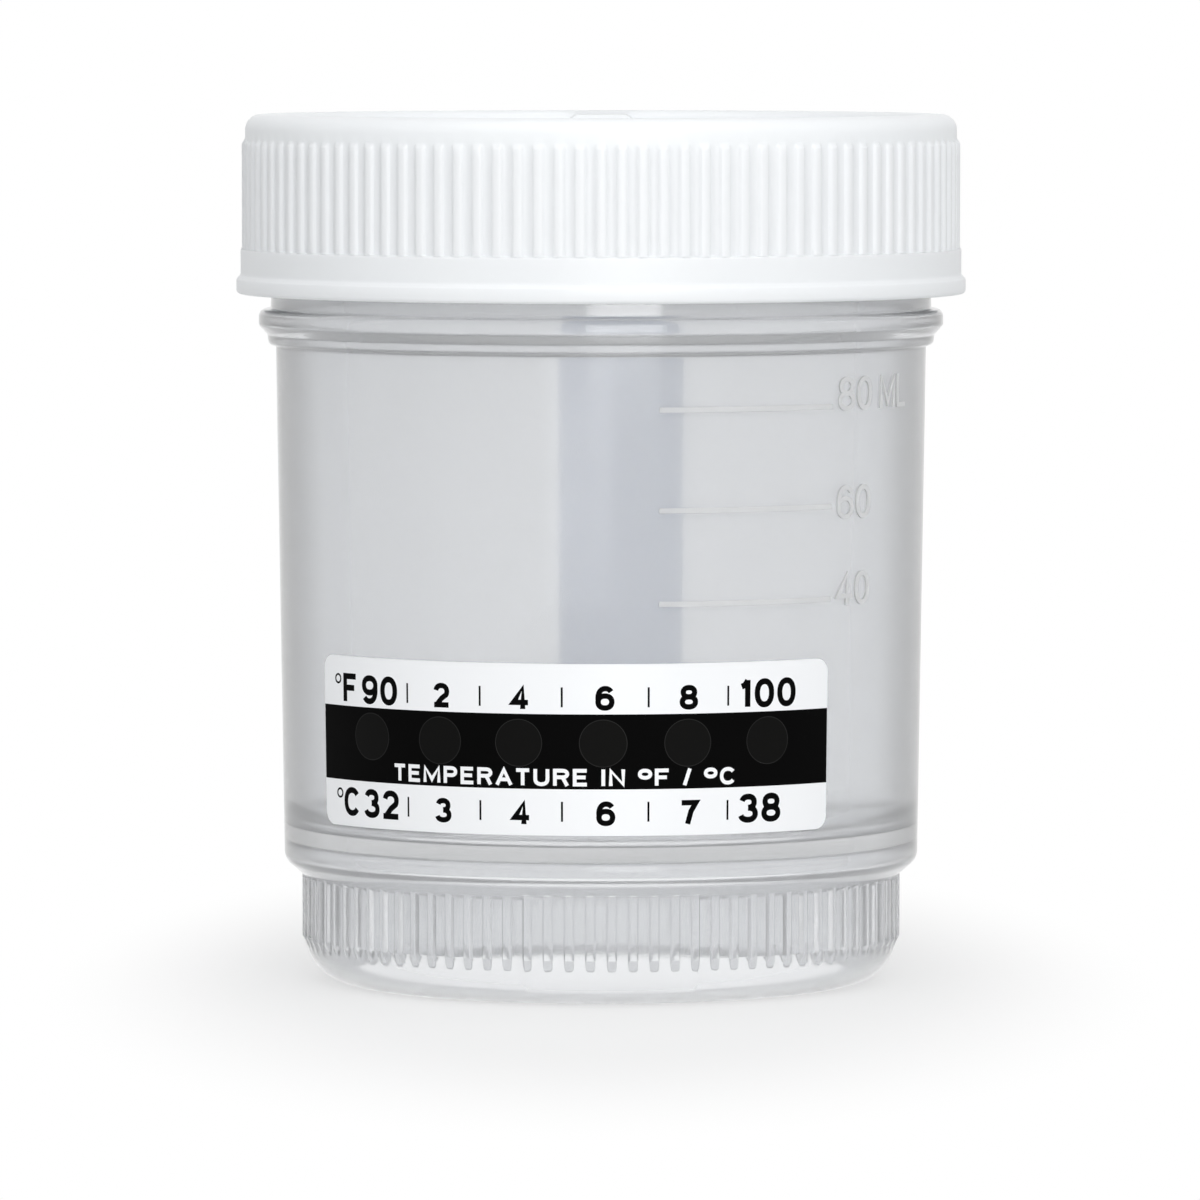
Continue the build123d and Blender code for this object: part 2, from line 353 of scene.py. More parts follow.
cupForm = {
    "neckHeight": 12.4, "beadHeight": 1.35, "flareHeight": 0.8, "flangeHeight": 0.9,
    "bodyHeight": 43.55, "shoulderHeight": 1.55,
    "beadStep": 0.73, "flangeDraft": 0.12, "flangeStep": 0.6, "bodyFlare": 0.67,
    "neckStep": 0.43, "skirtInset": 1.78,
    "wall": 0.8, "neckWall": 1.0, "floorLift": 2.8, "floorThickness": 1.1,
    "footRound": 3.9, "footRing": 0.35, "innerCorner": 2.4,
    "skirtRibs": 90, "skirtRibHeight": 0.3, "padStep": 0.2, "padBearing": 2.0, "padRibsEachSide": 4,
    "padBottom": 1.5, "padFadeBelow": 0.3, "padFadeAbove": 0.5, "ribFootLow": 3.15, "ribFootHigh": 3.95,
}
skirtRibSamples = ((0.2, 1), (0.31, 0.75), (0.43, 0))  # distance from a rib's middle, share of its height

form = cupForm
rimTop, beadRadius = cupBox[1].z, cupBox[1].x
collarTop = rimTop - form["neckHeight"]
beadBottom = collarTop - form["beadHeight"]
flareBottom = beadBottom - form["flareHeight"]
flangeBottom = flareBottom - form["flangeHeight"]
bodyBottom = flangeBottom - form["bodyHeight"]
shoulderBottom = bodyBottom - form["shoulderHeight"]
flangeRadius = beadRadius - form["beadStep"] - form["flangeDraft"]
bodyTopRadius = flangeRadius - form["flangeStep"]
bodyRadius = bodyTopRadius - form["bodyFlare"]
neckRadius = bodyTopRadius + form["neckStep"]
skirtRadius = bodyRadius - form["skirtInset"]


def bodyRadiusAt(height):
    return bodyRadius + form["bodyFlare"] * (height - bodyBottom) / form["bodyHeight"]


def cupCorners():
    # from the middle of the floor up the bore, over the rim, down the outside and in under the floor
    wall = form["wall"]
    neckBore = neckRadius - form["neckWall"]
    skirtBore = skirtRadius - wall
    floorTop = bodyBottom + form["floorLift"]
    floorUnder = floorTop - form["floorThickness"]
    footInner = skirtRadius - form["footRound"] - form["footRing"]
    slope = (bodyRadius - skirtRadius) / form["shoulderHeight"]
    corners = [
        (0, floorTop, 0, 0),
        (bodyRadius - wall, floorTop, form["innerCorner"], 6),
        (bodyTopRadius - wall, flangeBottom, 1.5, 2),
        (neckBore, collarTop, 1.0, 2),
        (neckBore, rimTop, 0.3, 3),
        (neckRadius, rimTop, 0.35, 3),
        (neckRadius, collarTop, 0.2, 2),
        (beadRadius, collarTop, 0.6, 5),
        (beadRadius, beadBottom, 0.45, 4),
        (flangeRadius + form["flangeDraft"], flareBottom, 0.3, 2),
        (flangeRadius, flangeBottom, 0.42, 4),
        (bodyTopRadius, flangeBottom, 0.12, 2),
        (bodyRadius, bodyBottom, 1.3, 5),
    ]
    for step in (0.55, 0.45, 0.35, 0.25, 0.15):
        corners.append((skirtRadius + step * slope, shoulderBottom + step, 0, 0))
    corners += [
        (skirtRadius, shoulderBottom, 0.08, 2),
        (skirtRadius, form["footRound"] + 0.25, 0, 0),
        (skirtRadius, form["footRound"] + 0.1, 0, 0),
        (skirtRadius, 0, form["footRound"], 14),
        (footInner, 0, 0.2, 2),
        (footInner, wall, 0.15, 1),
        (skirtBore, wall, form["footRound"] - wall, 6),
        (skirtBore, shoulderBottom + wall / 2, 0.6, 2),
        (bodyRadius - wall, bodyBottom + wall / 2, 0.4, 2),
        (bodyRadius - wall, floorUnder, 0.3, 2),
        (0, floorUnder, 0, 0),
    ]
    return corners


def cupShell():
    ribs, first = form["skirtRibs"], form["padBearing"]
    pitch = 360 / ribs
    bearings = ribBearings(ribs, first, skirtRibSamples, skirtRadius)
    share = ribShare(bearings, ribs, first, skirtRibSamples, skirtRadius)
    crest = math.degrees(skirtRibSamples[0][0] / skirtRadius)
    halfPad = form["padRibsEachSide"] * pitch + crest
    off = np.abs((bearings - first + 90) % 180 - 90)
    pad = form["padStep"] * (off <= halfPad + 1e-6)
    points = roundedOutline(cupCorners())
    heights = np.array([p.y for p in points])
    radii = np.repeat(np.array([p.x for p in points])[:, None], len(bearings), 1)
    rim = int(np.argmax(heights))
    standing = int(np.argmin(heights[rim:])) + rim
    for row in range(rim, standing):
        height, radius = heights[row], points[row].x
        if height < bodyBottom:
            ribFade = smoothstep(form["ribFootLow"], form["ribFootHigh"], height)
            ribLift = form["skirtRibHeight"] * share * ribFade
            padLow = form["padBottom"] - form["padFadeBelow"]
            padHigh = form["padBottom"] + form["padFadeAbove"]
            padLift = pad * smoothstep(padLow, padHigh, height)
            radii[row] = np.maximum(radius, min(radius, skirtRadius) + ribLift + padLift)
    return turnedObject("cup_shell", radii, heights, bearings, plastic)


def threadRidge(name, surface, depth, turns, bottom, start, rootWidth, tipWidth, pitch, material):
    # a helical ridge with a rounded crest, running out to almost nothing at both ends
    stepsPerTurn, runOut, sunk = 72, 0.09, 0.25
    count = int(turns * stepsPerTurn)
    outwards = math.copysign(1, depth)
    profile = [
        (-outwards * sunk, -rootWidth / 2), (0, -rootWidth / 2), (depth * 0.75, -tipWidth / 2 - 0.12),
        (depth, -tipWidth / 2 + 0.12), (depth, tipWidth / 2 - 0.12), (depth * 0.75, tipWidth / 2 + 0.12),
        (0, rootWidth / 2), (-outwards * sunk, rootWidth / 2),
    ]
    vertices, faces = [], []
    for step in range(count + 1):
        turned = turns * step / count
        grow = min(1, turned / runOut, (turns - turned) / runOut)
        grow = math.sin(max(grow, 0.02) * math.pi / 2)
        bearing = math.radians(start + 360 * turned)
        for out, along in profile:
            radius = surface + (out * grow if out * outwards > 0 else out)
            height = bottom + pitch * turned + along * (0.4 + 0.6 * grow)
            vertices.append((radius * math.sin(bearing) * mm, -radius * math.cos(bearing) * mm, height * mm))
    size = len(profile)
    for step in range(count):
        for side in range(size):
            a, b = step * size + side, step * size + (side + 1) % size
            faces.append((a, a + size, b + size, b) if outwards > 0 else (b, b + size, a + size, a))
    faces.append(list(range(size)) if outwards > 0 else list(range(size))[::-1])
    ends = [count * size + side for side in range(size)]
    faces.append(ends[::-1] if outwards > 0 else ends)
    return newObject(name, vertices, faces, [material], sharpAngle=50)


threadForm = {
    "pitch": 5.08, "depth": 0.95, "rootWidth": 2.0, "tipWidth": 1.0,
    "cupTurns": 1.4, "cupRimGap": 1.9, "capTurns": 1.2, "capDepth": 0.8, "capLag": 0.3,
    "flankClearance": 0.2,
}
thread = threadForm
cupThreadBottom = rimTop - thread["cupRimGap"] - thread["cupTurns"] * thread["pitch"]
dress(cupShell(), "cup", "cup_plastic", "cup")
dress(threadRidge(
    "cup_thread", neckRadius, thread["depth"], thread["cupTurns"], cupThreadBottom, 0,
    thread["rootWidth"], thread["tipWidth"], thread["pitch"], plastic,
), "cup", "cup_plastic")
print("cup built")


# Numbers and marks

bowSquareness = 0.9  # 1 is a true ellipse, less is squarer


def bow(x, y, across, tall, start, end, steps=14):
    # a slightly squared arc, from one angle to another
    points = []
    for step in range(steps + 1):
        angle = math.radians(start + (end - start) * step / steps)
        c, s = math.cos(angle), math.sin(angle)
        outX = math.copysign(abs(c) ** bowSquareness, c)
        outY = math.copysign(abs(s) ** bowSquareness, s)
        points.append((x + across * outX, y + tall * outY))
    return points


# each figure: its width beside a numeral's, and the middle lines of its strokes in a unit box;
# the star stands for a degree ring
figures = {
    "0": (1, [bow(0.5, 0.5, 0.5, 0.5, 0, 360, 32)]),
    "1": (0.62, [[(0.0, 0.80), (0.45, 0.86), (0.86, 1.06)], [(0.86, -0.08), (0.86, 1.08)]]),
    "2": (1, [bow(0.5, 0.70, 0.46, 0.30, 172, -32, 16) + [(0.5, 0.33), (0.1, 0.0)],
              [(-0.12, 0.0), (1.1, 0.0)]]),
    "3": (1, [bow(0.48, 0.76, 0.42, 0.24, 168, -90, 16), bow(0.48, 0.26, 0.50, 0.26, 90, -168, 16)]),
    "4": (1, [[(0.72, -0.1), (0.72, 1.0), (0.0, 0.24), (1.12, 0.24)]]),
    "6": (1, [bow(0.5, 0.31, 0.5, 0.31, 0, 360, 28), bow(0.53, 0.5, 0.53, 0.5, 40, 190, 18)]),
    "7": (1, [[(-0.1, 1.0), (1.0, 1.0), (0.62, 0.56), (0.36, -0.1)]]),
    "8": (1, [bow(0.5, 0.76, 0.43, 0.24, 0, 360, 24), bow(0.5, 0.26, 0.5, 0.26, 0, 360, 26)]),
    "9": (1, [bow(0.5, 0.69, 0.5, 0.31, 0, 360, 28), bow(0.47, 0.5, 0.53, 0.5, 220, 370, 18)]),
    "F": (0.95, [[(0.0, -0.1), (0.0, 1.0), (1.12, 1.0)], [(0.0, 0.5), (0.95, 0.5)]]),
    "C": (1.12, [bow(0.5, 0.5, 0.5, 0.5, 36, 324, 26)]),
    "T": (0.95, [[(-0.12, 1.0), (1.12, 1.0)], [(0.5, 1.0), (0.5, -0.1)]]),
    "E": (0.95, [[(1.1, 1.0), (0.0, 1.0), (0.0, 0.0), (1.12, 0.0)], [(0.0, 0.52), (1.0, 0.52)]]),
    "M": (1.3, [[(0.0, -0.1), (0.0, 1.0), (0.5, 0.12), (1.0, 1.0), (1.0, -0.1)]]),
    "P": (1, [[(0.0, -0.1), (0.0, 1.0)] + bow(0.6, 0.74, 0.4, 0.26, 90, -90, 10) + [(0.0, 0.48)]]),
    "R": (1.05, [[(0.0, -0.1), (0.0, 1.0)] + bow(0.6, 0.76, 0.4, 0.24, 90, -90, 10) + [(0.0, 0.52)],
                 [(0.62, 0.52), (1.0, -0.1)]]),
    "A": (1.1, [[(-0.05, -0.1), (0.5, 1.0), (1.05, -0.1)], [(0.18, 0.3), (0.82, 0.3)]]),
    "U": (1.05, [[(0.0, 1.1)] + bow(0.5, 0.36, 0.5, 0.36, 180, 360, 14) + [(1.0, 1.1)]]),
    "N": (1.05, [[(0.0, -0.1), (0.0, 1.0), (1.0, 0.0), (1.0, 1.1)]]),
    "I": (0.25, [[(0.5, -0.1), (0.5, 1.1)]]),
    "L": (0.9, [[(0.0, 1.1), (0.0, 0.0), (1.12, 0.0)]]),
    "/": (0.6, [[(0.0, -0.1), (1.0, 1.1)]]),
    "*": (0.8, [bow(0.5, 0.74, 0.62, 0.26, 0, 360, 20)]),
    " ": (0.42, []),
}


def strokeShape(path, stroke):
    # a path given a width, as a chain of four-sided faces
    line = np.array(path)
    runs = np.diff(line, axis=0)
    normals = np.stack([-runs[:, 1], runs[:, 0]], -1) / np.linalg.norm(runs, axis=1)[:, None]
    ends = [normals[:1], normals[-1:]]
    if np.allclose(line[0], line[-1]):
        ends = [normals[-1:], normals[:1]]
    before, after = np.concatenate([ends[0], normals]), np.concatenate([normals, ends[1]])
    if not np.allclose(line[0], line[-1]):
        before[0], after[-1] = normals[0], normals[-1]
    mitre = before + after
    mitre /= np.maximum((mitre * before).sum(1), 0.45)[:, None]
    sides = np.stack([line + mitre * stroke / 2, line - mitre * stroke / 2], 1).reshape(-1, 2)
    faces = [[2 * i, 2 * i + 1, 2 * i + 3, 2 * i + 2] for i in range(len(runs))]
    return sides.tolist(), faces


def strokeText(text, left, bottom, height, width, stroke, gap, index=0):
    # figures in a row, each one a set of stroke shapes; width is a numeral's
    shapes = []
    for letter in text:
        share, paths = figures[letter]
        across, tall = max(width * share - stroke, 0.01), height - stroke
        for path in paths:
            ended = clipped(path, across, tall, stroke)
            placed = [(left + stroke / 2 + x * across, bottom + stroke / 2 + y * tall) for x, y in ended]
            shapes.append((*strokeShape(placed, stroke), index))
        left += width * share + (gap if share else 0)
    return shapes


def clipped(path, across, tall, stroke):
    # open ends written beyond the unit box reach just to the edge of the figure
    edgeX, edgeY = stroke / 2 / across, stroke / 2 / tall
    return [
        (min(max(x, -edgeX), 1 + edgeX) if x < 0 or x > 1 else x,
         min(max(y, -edgeY), 1 + edgeY) if y < 0 or y > 1 else y)
        for x, y in path
    ]


def boundary(faces):
    # edges that only one face uses, in that face's direction
    edges = {}
    for face in faces:
        for a, b in zip(face, list(face[1:]) + [face[0]]):
            if (b, a) in edges:
                del edges[(b, a)]
            else:
                edges[(a, b)] = True
    return list(edges)


def insideAny(spots, corners):
    # whether each spot lies in one of the triangles, given as an array of (triangle, corner, xy)
    a, b, c = corners[:, 0], corners[:, 1], corners[:, 2]
    spots = spots[:, None, :]

    def side(p, q):
        run, rise = q[:, 0] - p[:, 0], q[:, 1] - p[:, 1]
        return run * (spots[..., 1] - p[:, 1]) - rise * (spots[..., 0] - p[:, 0])

    one, two, three = side(a, b), side(b, c), side(c, a)
    return (((one > 0) & (two > 0) & (three > 0)) | ((one < 0) & (two < 0) & (three < 0))).any(1)


def cutSheet(outlinePoints, regions):
    # a flat sheet cut along the edges of its regions and into upright slices: points, triangles, region marks
    points = [Vector(p) for p in outlinePoints]
    edges = []
    for regionPoints, regionFaces, index in regions:
        start = len(points)
        points += [Vector(p) for p in regionPoints]
        edges += [(start + a, start + b) for a, b in boundary(regionFaces)]
    left, right = min(p[0] for p in outlinePoints), max(p[0] for p in outlinePoints)
    low, high = min(p[1] for p in outlinePoints), max(p[1] for p in outlinePoints)
    slices = int((right - left) / sliceWidth)
    for step in range(1, slices):
        x = left + (right - left) * step / slices
        edges.append((len(points), len(points) + 1))
        points += [Vector((x, low)), Vector((x, high))]
    outline = [list(range(len(outlinePoints)))]
    flat, _, triangles, _, _, _ = delaunay_2d_cdt(points, edges, outline, 1, 1e-5)
    flatPoints = np.array([p[:] for p in flat])
    spots = flatPoints[np.array(triangles)].mean(1)
    marks = np.full(len(triangles), -1)
    for regionPoints, regionFaces, index in regions:
        fans = [(f[0], f[i], f[i + 1]) for f in regionFaces for i in range(1, len(f) - 1)]
        marks[insideAny(spots, np.array(regionPoints)[np.array(fans)])] = index
    return flatPoints, [tuple(t) for t in triangles], marks


def wrapped(across, height, lift, leftBearing):
    # a point on the tapered body, across millimetres to the right of a bearing
    bearing = math.radians(leftBearing) + across / bodyRadius
    radius = bodyRadiusAt(height) + lift
    return (radius * math.sin(bearing) * mm, -radius * math.cos(bearing) * mm, height * mm)


def wrappedSheet(name, sheet, marks, materials, leftBearing, bottom, low, high):
    # a thin solid on the body's surface, between two distances from it
    points, triangles = sheet
    count = len(points)
    front = [wrapped(x, bottom + y, high, leftBearing) for x, y in points.tolist()]
    back = [wrapped(x, bottom + y, low, leftBearing) for x, y in points.tolist()]
    rims = boundary(triangles)
    faces = [list(t) for t in triangles]
    faces += [[count + i for i in reversed(t)] for t in triangles]
    faces += [[b, a, count + a, count + b] for a, b in rims]
    return newObject(name, front + back, faces, materials, marks + [0] * (len(triangles) + len(rims)), 40)


sliceWidth = 0.5  # a wrapped sheet is cut into upright slices this wide
markForm = {
    "height": 2.8, "proud": 0.16, "sunk": 0.02, "stroke": 0.38, "gap": 0.36, "digitWidth": 1.95,
    "bearing": 45.5, "left": -17.2, "right": 11.0, "border": 1,
    "labels": (("80", 0.0, 49.2), ("ML", 5.55, 49.25), ("60", 0.0, 40.2), ("40", 0.0, 33.0)),
    "lineLeft": -16.67, "lineRight": -0.7, "lineWidth": 0.43, "lineHeights": (33.6, 41.3, 49.6),
}


def volumeMarks():
    mark = markForm
    bottoms = [bottom for text, left, bottom in mark["labels"]]
    low = min(bottoms) - mark["border"]
    high = max(bottoms) + mark["height"] + mark["border"]
    regions = []
    for text, left, bottom in mark["labels"]:
        regions += strokeText(
            text, left, bottom - low, mark["height"], mark["digitWidth"], mark["stroke"], mark["gap"]
        )
    for height in mark["lineHeights"]:
        ends = [(mark["lineLeft"], height - low), (mark["lineRight"], height - low)]
        regions.append((*strokeShape(ends, mark["lineWidth"]), 0))
    left, right = mark["left"], mark["right"]
    field = [(left, 0), (right, 0), (right, high - low), (left, high - low)]
    points, triangles, marks = cutSheet(field, regions)
    kept = [t for t, m in zip(triangles, marks) if m == 0]
    used = sorted({i for t in kept for i in t})
    place = {old: new for new, old in enumerate(used)}
    sheet = (points[used], [tuple(place[i] for i in t) for t in kept])
    return wrappedSheet(
        "volume_marks", sheet, [0] * len(kept), [markPlastic], mark["bearing"], low,
        -mark["sunk"], mark["proud"],
    )


dress(volumeMarks(), "cup", "cup_plastic")
print("volume marks raised")


# Films

def roundedRectangle(left, bottom, right, top, corner, steps=6):
    points = []
    for x, y, start in (
        (right - corner, top - corner, 0), (left + corner, top - corner, 90),
        (left + corner, bottom + corner, 180), (right - corner, bottom + corner, 270),
    ):
        for step in range(steps + 1):
            angle = math.radians(start + 90 * step / steps)
            points.append((x + corner * math.cos(angle), y + corner * math.sin(angle)))
    return points


def circle(x, y, radius, steps=40):
    turns = [2 * math.pi * step / steps for step in range(steps)]
    return [(x + radius * math.cos(t), y + radius * math.sin(t)) for t in turns]


labelForm = {
    "thickness": 0.15, "lift": 0.02, "corner": 1.15, "leftBearing": -57.6, "width": 47.45,
    "bandBottom": 3.85, "bandTop": 10.05,
    "windowAt": (6.2, 13.27, 20.25, 27.22, 34.2, 41.3), "windowHeight": 7.65, "windowRadius": 1.98,
    "windowRim": 0.06,
    "tickAt": (10.15, 16.95, 23.85, 30.92, 37.65), "tickWidth": 0.17, "tickHeight": 1.65,
    "tickRows": (1.17, 10.63),
    "smallHeight": 2.05, "smallWidth": 1.56, "smallStroke": 0.45,
    "largeHeight": 2.42, "largeWidth": 1.84, "largeStroke": 0.50, "largeGap": 0.3,
    "smallFigures": (("2", 12.7, 10.38), ("4", 19.6, 10.38), ("6", 26.58, 10.36), ("8", 33.48, 10.38),
                     ("3", 12.8, 0.84), ("4", 19.66, 0.86), ("6", 26.65, 0.82), ("7", 33.57, 0.86)),
    "largeFigures": (("F", 2.72, 10.36), ("90", 5.12, 10.32), ("100", 38.6, 10.38),
                     ("C", 2.66, 0.86), ("32", 5.22, 0.84), ("38", 38.62, 0.86)),
    "degreeAt": ((2.02, 12.28), (2.08, 2.72)), "degreeRadius": 0.44, "degreeHole": 0.27,
    "words": "TEMPERATURE IN *F / *C", "wordsLeft": 8.7, "wordsBottom": 4.1,
    "wordsHeight": 1.45, "wordsWidth": 1.26, "wordsStroke": 0.31, "wordsGap": 0.30,
}


def temperatureStrip():
    label = labelForm
    width, height = label["width"], stripBox[1].z - stripBox[0].z
    white, black, dark, rim = 0, 1, 2, 3

    def rectangle(left, bottom, right, top, index):
        return [(left, bottom), (right, bottom), (right, top), (left, top)], [[0, 1, 2, 3]], index

    def disc(x, y, radius, index):
        ring = circle(x, y, radius)
        return ring, [list(range(len(ring)))], index

    regions = [rectangle(0, label["bandBottom"], width, label["bandTop"], black)]
    for x in label["windowAt"]:
        regions.append(disc(x, label["windowHeight"], label["windowRadius"], rim))
        regions.append(disc(x, label["windowHeight"], label["windowRadius"] - label["windowRim"], dark))
    for low in label["tickRows"]:
        for x in label["tickAt"]:
            half = label["tickWidth"] / 2
            regions.append(rectangle(x - half, low, x + half, low + label["tickHeight"], black))
    for text, left, bottom in label["smallFigures"]:
        regions += strokeText(
            text, left, bottom, label["smallHeight"], label["smallWidth"], label["smallStroke"], 0, black
        )
    for text, left, bottom in label["largeFigures"]:
        regions += strokeText(
            text, left, bottom, label["largeHeight"], label["largeWidth"], label["largeStroke"],
            label["largeGap"], black,
        )
    for x, y in label["degreeAt"]:
        regions.append(disc(x, y, label["degreeRadius"], black))
        regions.append(disc(x, y, label["degreeHole"], white))
    regions += strokeText(
        label["words"], label["wordsLeft"], label["wordsBottom"], label["wordsHeight"], label["wordsWidth"],
        label["wordsStroke"], label["wordsGap"], white,
    )
    outline = roundedRectangle(0, 0, width, height, label["corner"])
    points, triangles, marks = cutSheet(outline, regions)
    return wrappedSheet(
        "temperature_label", (points, triangles), np.maximum(marks, white).tolist(),
        [whiteFilm, blackInk, windowInk, windowRim], label["leftBearing"], stripBox[0].z,
        label["lift"], label["lift"] + label["thickness"],
    )


dress(temperatureStrip(), "cup", "strip_film", "temperature_strip")


sealForm = {"width": 10.9, "bearing": 176.2, "corner": 1.1, "thickness": 0.15, "lift": 0.02}


def sealStrip():
    seal = sealForm
    height = sealBox[1].z - sealBox[0].z
    outline = roundedRectangle(0, 0, seal["width"], height, seal["corner"])
    left = seal["bearing"] - math.degrees(seal["width"] / 2 / bodyRadius)
    points, triangles, marks = cutSheet(outline, [])
    return wrappedSheet(
        "blue_seal_strip", (points, triangles), [0] * len(triangles), [blueFilm], left, sealBox[0].z,
        seal["lift"], seal["lift"] + seal["thickness"],
    )


dress(sealStrip(), "cup", "blue_film", "seal_strip")
print("films wrapped")


# Cap: steps are counted down from the crest and in from the bead

capForm = {
    "beadHeight": 1.25, "beadStep": 0.36, "bandHeight": 2.55, "bandStep": 0.4, "wall": 1.0,
    "rimHeight": 1.7, "rimWidth": 3.3, "rimDraft": 0.2, "panelThickness": 1.3,
    "outerRound": 1.3, "innerRound": 0.8,
    "ribs": 110, "ribHeight": 0.28, "ribBorder": 2.5, "ribFade": 0.5,
    "lugs": 3, "lugWidth": 5.1, "lugDepth": 1.3, "lugGap": 0.3, "lugEdge": 0.3, "lugSunk": 0.3,
    "lugEdgeMiddle": 0.09,
}
capRibSamples = ((0, 1), (0.24, 0.97), (0.36, 0.8), (0.45, 0.28), (0.54, 0))  # as on the cup
lid = capForm
capTop, capBottom, capBeadRadius = capBox[1].z, capBox[0].z, capBox[1].x
bandRadius = capBeadRadius - lid["beadStep"]
capSkirtRadius = bandRadius - lid["bandStep"]
capBore = capSkirtRadius - lid["wall"]
bandBottom = capBottom + lid["beadHeight"]
bandTop = bandBottom + lid["bandHeight"]
panelTop = capTop - lid["rimHeight"]
panelUnder = panelTop - lid["panelThickness"]
capRimBore = capSkirtRadius - lid["rimWidth"]


def capShell():
    ribTop = capTop - lid["ribBorder"]
    corners = [
        (0, panelTop, 0, 0),
        (capRimBore - lid["rimDraft"], panelTop, 0.35, 3),
        (capRimBore, capTop, lid["innerRound"], 6),
        (capSkirtRadius, capTop, lid["outerRound"], 8),
        (capSkirtRadius, ribTop + lid["ribFade"], 0, 0),
        (capSkirtRadius, ribTop + lid["ribFade"] * 0.7, 0, 0),
        (capSkirtRadius, ribTop + lid["ribFade"] * 0.4, 0, 0),
        (capSkirtRadius, ribTop, 0, 0),
        (capSkirtRadius, bandTop, 0.08, 1),
        (bandRadius, bandTop, 0.14, 3),
        (bandRadius, bandBottom + lid["beadStep"], 0.3, 3),
        (capBeadRadius, bandBottom, 0.2, 3),
        (capBeadRadius, capBottom, 0.35, 4),
        (capBore, capBottom, 0.45, 4),
        (capBore, panelUnder, 0.4, 3),
        (0, panelUnder, 0, 0),
    ]
    points = roundedOutline(corners)
    heights = np.array([p.y for p in points])
    bearings = ribBearings(lid["ribs"], 0, capRibSamples, capSkirtRadius)
    share = ribShare(bearings, lid["ribs"], 0, capRibSamples, capSkirtRadius)
    radii = np.repeat(np.array([p.x for p in points])[:, None], len(bearings), 1)
    for row, point in enumerate(points):
        onSkirt = abs(point.x - capSkirtRadius) < 0.09 and bandTop - 0.01 <= point.y
        if onSkirt and point.y < capTop - lid["outerRound"] + 0.01:
            fade = 1 - smoothstep(ribTop, ribTop + lid["ribFade"], point.y)
            radii[row] += lid["ribHeight"] * share * fade
    return turnedObject("cap_shell", radii, heights, bearings, whitePlastic)


def capLugs():
    # low blocks inside the rim, with a bevel along the top and lower ends
    vertices, faces = [], []
    inner = capRimBore - lid["lugDepth"]
    outer = capRimBore + lid["rimDraft"]
    top, low = capTop - lid["lugGap"], panelTop - lid["lugSunk"]
    edge, near, steps = lid["lugEdge"], lid["lugEdgeMiddle"], 12
    half = math.degrees(lid["lugWidth"] / 2 / inner)
    profile = [
        (outer, low), (inner, low), (inner, top - edge), (inner + near, top - near),
        (inner + edge, top), (outer, top),
    ]
    for index in range(lid["lugs"]):
        middle = 180 + index * 360 / lid["lugs"]
        start = len(vertices)
        size = len(profile)
        for step in range(steps + 1):
            slide = -1 + 2 * step / steps
            bearing = math.radians(middle + half * slide)
            drop = edge if step in (0, steps) else 0
            for radius, height in profile:
                z = height - drop if height > top - edge - 0.01 else height
                vertices.append((radius * math.sin(bearing) * mm, -radius * math.cos(bearing) * mm, z * mm))
        for step in range(steps):
            for side in range(size):
                a, b = start + step * size + side, start + step * size + (side + 1) % size
                faces.append((b, b + size, a + size, a))
        faces.append([start + side for side in range(size)])
        faces.append([start + steps * size + side for side in reversed(range(size))])
    return newObject("cap_lugs", vertices, faces, [whitePlastic], sharpAngle=40)


dress(capShell(), "cap", "cap_plastic", "cap")
dress(capLugs(), "cap", "cap_plastic")
sharedDepth = thread["depth"] + thread["capDepth"] - (capBore - neckRadius)
flankSlope = (thread["rootWidth"] - thread["tipWidth"]) / 2 / thread["depth"]
drop = thread["tipWidth"] + flankSlope * sharedDepth + thread["flankClearance"]
capThreadBottom = cupThreadBottom - drop + thread["capLag"] * thread["pitch"]
dress(threadRidge(
    "cap_thread", capBore, -thread["capDepth"], thread["capTurns"], capThreadBottom, 360 * thread["capLag"],
    thread["rootWidth"], thread["tipWidth"], thread["pitch"], whitePlastic,
), "cap", "cap_plastic")
print("cap built")


# Sealing disc

discForm = {"edgeRound": 0.12, "edgeWidth": 1.2, "sides": 256}


def sealingDisc():
    disc = discForm
    low, top, radius = linerBox[0].z, linerBox[1].z, linerBox[1].x
    corners = [
        (0, top, 0, 0),
        (radius, top, disc["edgeRound"], 2),
        (radius, low, disc["edgeRound"], 2),
        (radius - disc["edgeWidth"], low, 0, 0),
        (0, low, 0, 0),
    ]
    points = roundedOutline(corners)
    bearings = np.arange(disc["sides"]) * 360 / disc["sides"]
    radii = np.repeat(np.array([p.x for p in points])[:, None], len(bearings), 1)
    return turnedObject("sealing_disc", radii, np.array([p.y for p in points]), bearings, foam)


dress(sealingDisc(), "liner", "liner_foam", "cap_liner")
print("sealing disc laid in")


# Stage, lamps and camera

# near the object the floor's glow is lowered, which paints a soft shadow round the foot, stretched front to
# back
stageLook = {
    "size": 6.0, "white": (0.84, 0.84, 0.84), "glow": 1.0, "paintedShadowGlow": 0.62,
    "paintedShadowFrom": 0.022, "paintedShadowTo": 0.048, "paintedShadowStretch": 0.40,
    "worldColour": (0.97, 0.985, 1.0), "worldLevel": 0.46, "aimHeight": 0.04,
}


def rayMask(tree, names):
    # 1 for a ray of any of these kinds
    path = tree.nodes.new("ShaderNodeLightPath")
    total = path.outputs[names[0]]
    for name in names[1:]:
        total = mathNode(tree, "MAXIMUM", total, path.outputs[name])
    return total


